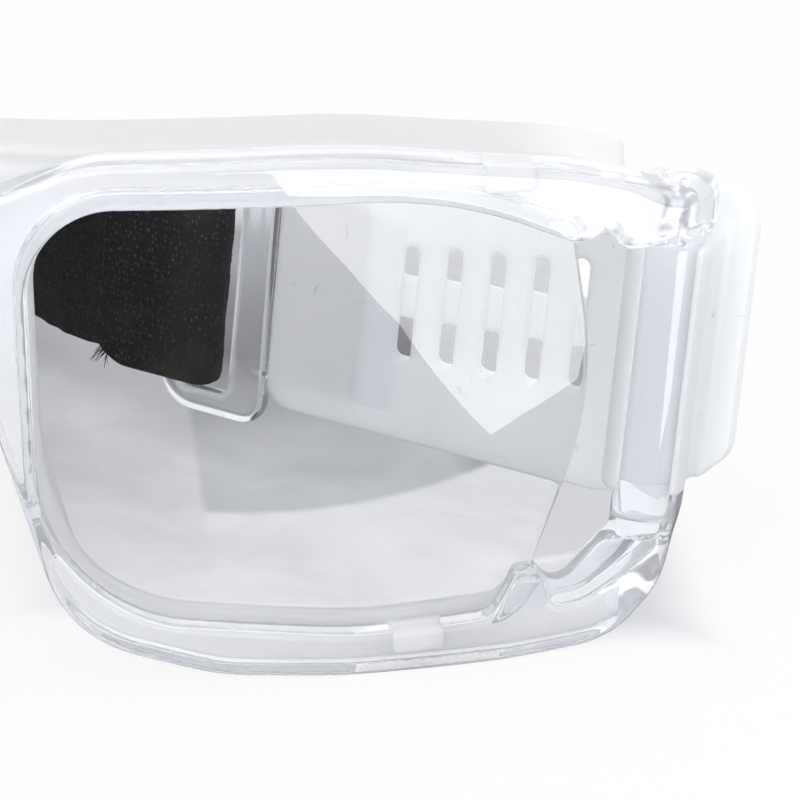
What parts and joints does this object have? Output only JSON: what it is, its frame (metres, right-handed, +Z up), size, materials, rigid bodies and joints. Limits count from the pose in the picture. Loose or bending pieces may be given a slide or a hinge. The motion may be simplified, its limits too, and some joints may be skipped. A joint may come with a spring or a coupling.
{
  "type": "sports goggles",
  "caption": "Wraparound clear sports goggles with a soft face gasket, swinging vented side arms, looped strap buckles and an elastic head strap.",
  "frame": {"origin": "Middle of the footprint of the whole object, frame front to strap rear, at the level of the surface that it stands on.", "axes": "+X to the right as seen from the front of the goggles, +Y from the lenses back towards the wearer and the strap, +Z up. The object mirrors across the plane X = 0."},
  "size_m": [0.163, 0.1668, 0.0508],
  "materials": {
    "clear_frame": "clear injection-moulded polycarbonate, polished, faint lilac cast",
    "clear_lens": "clear polycarbonate lens, polished both sides",
    "milky_gasket": "soft milky translucent elastomer, satin",
    "pale_arm": "soft pale grey plastic, satin, slightly translucent",
    "clear_buckle": "clear injection-moulded plastic, glossy",
    "black_strap": "black knitted elastic webbing"
  },
  "bodies": {
    "frame": {"front_frame": "clear_frame", "lens_right": "clear_lens", "lens_left": "clear_lens", "face_gasket": "milky_gasket", "head_strap": "black_strap"},
    "arm_right": {"side_arm_right": "pale_arm", "buckle_right": "clear_buckle", "strap_end_right": "black_strap"},
    "arm_left": {"side_arm_left": "pale_arm", "buckle_left": "clear_buckle", "strap_end_left": "black_strap"}
  },
  "joints": [
    {"name": "arm_right_hinge", "type": "hinge", "parent": "frame", "child": "arm_right", "pos_m": [0.07162, -0.05973, 0.0276], "axis": [0, 0, 1], "range_deg": [-65, 20], "deforming": ["head_strap"]},
    {"name": "arm_left_hinge", "type": "hinge", "parent": "frame", "child": "arm_left", "pos_m": [-0.07162, -0.05973, 0.0276], "axis": [0, 0, -1], "range_deg": [-65, 20], "deforming": ["head_strap"]}
  ]
}
